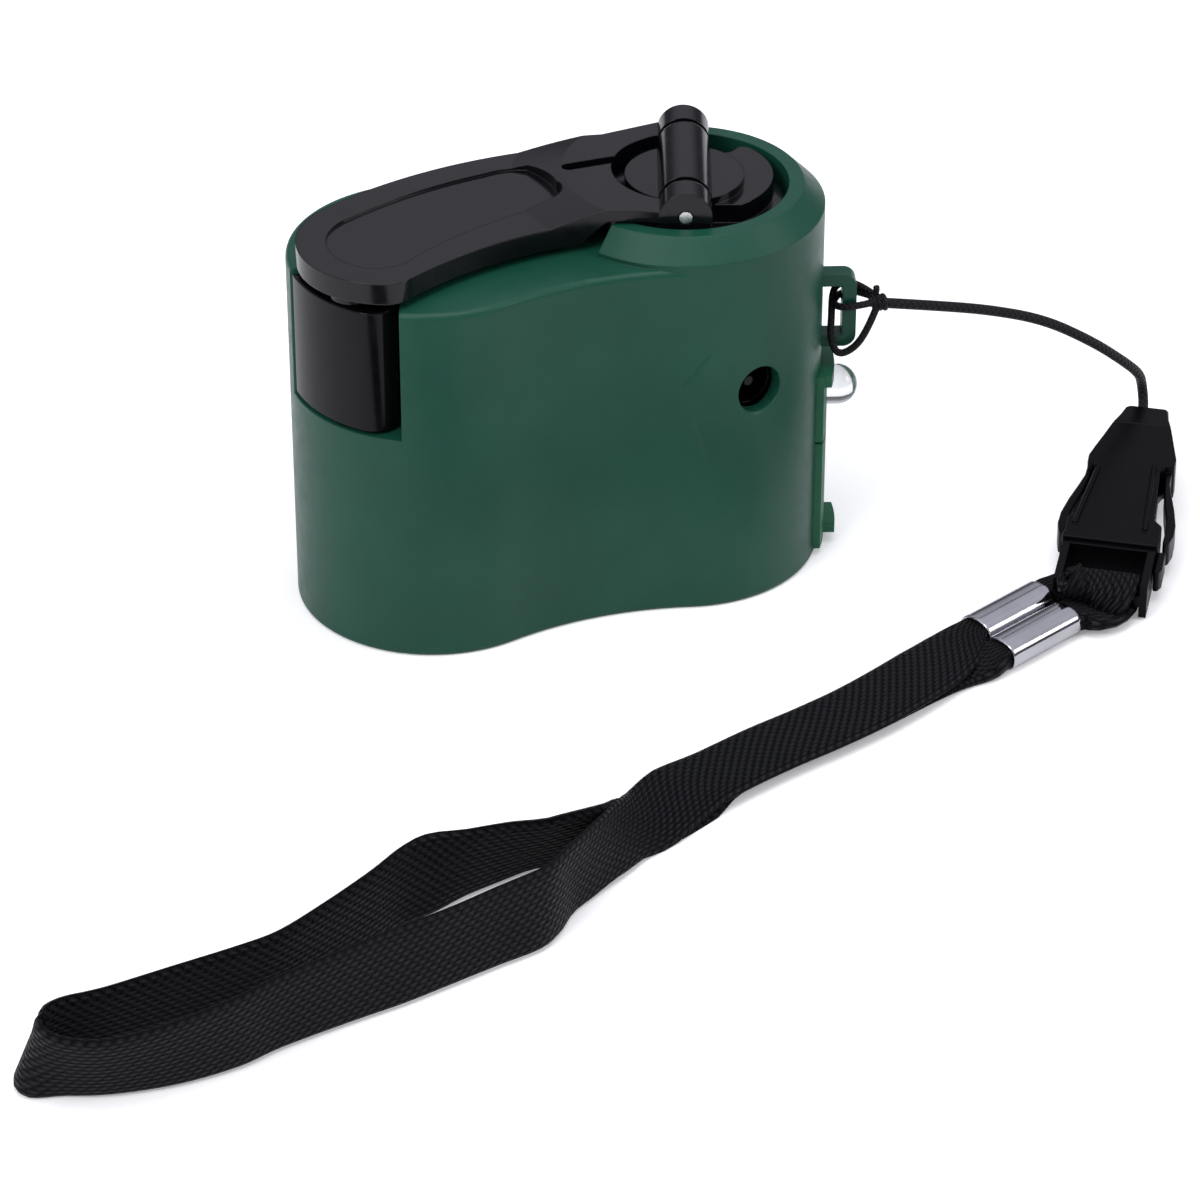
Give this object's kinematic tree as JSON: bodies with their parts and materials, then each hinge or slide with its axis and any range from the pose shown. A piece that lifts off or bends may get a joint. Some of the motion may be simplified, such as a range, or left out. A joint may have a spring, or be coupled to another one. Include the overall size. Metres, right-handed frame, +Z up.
{
  "type": "hand crank phone charger",
  "caption": "Pocket hand-crank generator with a folding crank arm and stowed grip, USB port under a rubber cover, LED lamp, DC jack and a buckled wrist lanyard.",
  "frame": {"origin": "middle of the flat base, between the two lobes", "axes": "+Z up, +X from the grip end to the crank hub, -Y the waisted front"},
  "size_m": [0.1685, 0.1046, 0.0545],
  "materials": {
    "green_body": "satin moulded dark green ABS",
    "green_cover": "soft green elastomer, slightly lighter",
    "crank_black": "polished black ABS",
    "black_plastic": "smooth black acetal",
    "black_cord": "braided black polyester",
    "black_webbing": "woven black polyester",
    "chrome_tube": "bright plated",
    "steel": "plated steel",
    "lens": "clear epoxy",
    "gear_plastic": "natural nylon",
    "inner_plastic": "black moulded",
    "copper": "enamelled copper wire",
    "ferrite": "sintered ferrite",
    "laminate": "glass epoxy board",
    "bronze": "sintered bronze"
  },
  "bodies": {
    "base": {"housing": "green_body", "bottom_cover": "green_body", "cover_screws": "steel", "gear_plate": "inner_plastic", "plate_screws": "steel", "idler_axle": "steel", "stator": "steel", "stator_coils": "copper", "circuit_board": "laminate", "board_parts": "inner_plastic", "usb_shell": "steel", "usb_tongue": "inner_plastic", "led_lamp": "lens", "dc_jack": "inner_plastic", "cover_strip": "green_cover", "shaft_bush": "bronze", "lanyard_cord": "black_cord", "cord_knot": "black_cord", "buckle_socket": "black_plastic"},
    "crank": {"crank_hub": "crank_black", "crank_shaft": "steel", "shaft_screw": "steel", "drive_gear": "gear_plastic", "hinge_pin": "steel", "hinge_washers": "gear_plastic"},
    "arm": {"crank_arm": "crank_black", "grip_screw": "steel"},
    "grip": {"grip": "crank_black"},
    "idler": {"idler_gear": "gear_plastic"},
    "rotor": {"rotor_pinion": "gear_plastic", "rotor_shaft": "steel", "rotor_magnet": "ferrite"},
    "flap": {"port_cover": "green_cover"},
    "strap": {"buckle_plug": "black_plastic", "crimp_tubes": "chrome_tube", "webbing": "black_webbing"}
  },
  "joints": [
    {"name": "crank_spin", "type": "hinge", "parent": "base", "child": "crank", "pos_m": [0.01615, 0, 0.046], "axis": [0, 0, -1], "continuous": true},
    {"name": "arm_fold", "type": "hinge", "parent": "crank", "child": "arm", "pos_m": [0.01615, 0, 0.0513], "axis": [0.3338, 0.9426, 0], "range_deg": [0, 180]},
    {"name": "grip_spin", "type": "hinge", "parent": "arm", "child": "grip", "pos_m": [-0.02767, -0.00751, 0.04], "axis": [0, 0, -1], "continuous": true},
    {"name": "idler_spin", "type": "hinge", "parent": "base", "child": "idler", "pos_m": [0.00023, 0.00456, 0.038], "axis": [0, 0, -1], "continuous": true},
    {"name": "rotor_spin", "type": "hinge", "parent": "base", "child": "rotor", "pos_m": [-0.01333, 0.00168, 0.014], "axis": [0, 0, -1], "continuous": true},
    {"name": "port_cover_hinge", "type": "hinge", "parent": "base", "child": "flap", "pos_m": [0.03317, -0.0052, 0.0162], "axis": [-0.2924, -0.9563, 0], "range_deg": [0, 105]},
    {"name": "buckle_release", "type": "slide", "parent": "base", "child": "strap", "axis": [-0.5345, -0.8391, -0.1011], "range_m": [0, 0.014]}
  ],
  "couplings": [
    {"joint": "idler_spin", "follows": "crank_spin", "ratio": -4},
    {"joint": "rotor_spin", "follows": "crank_spin", "ratio": 14.4},
    {"joint": "grip_spin", "follows": "crank_spin", "ratio": 1}
  ]
}
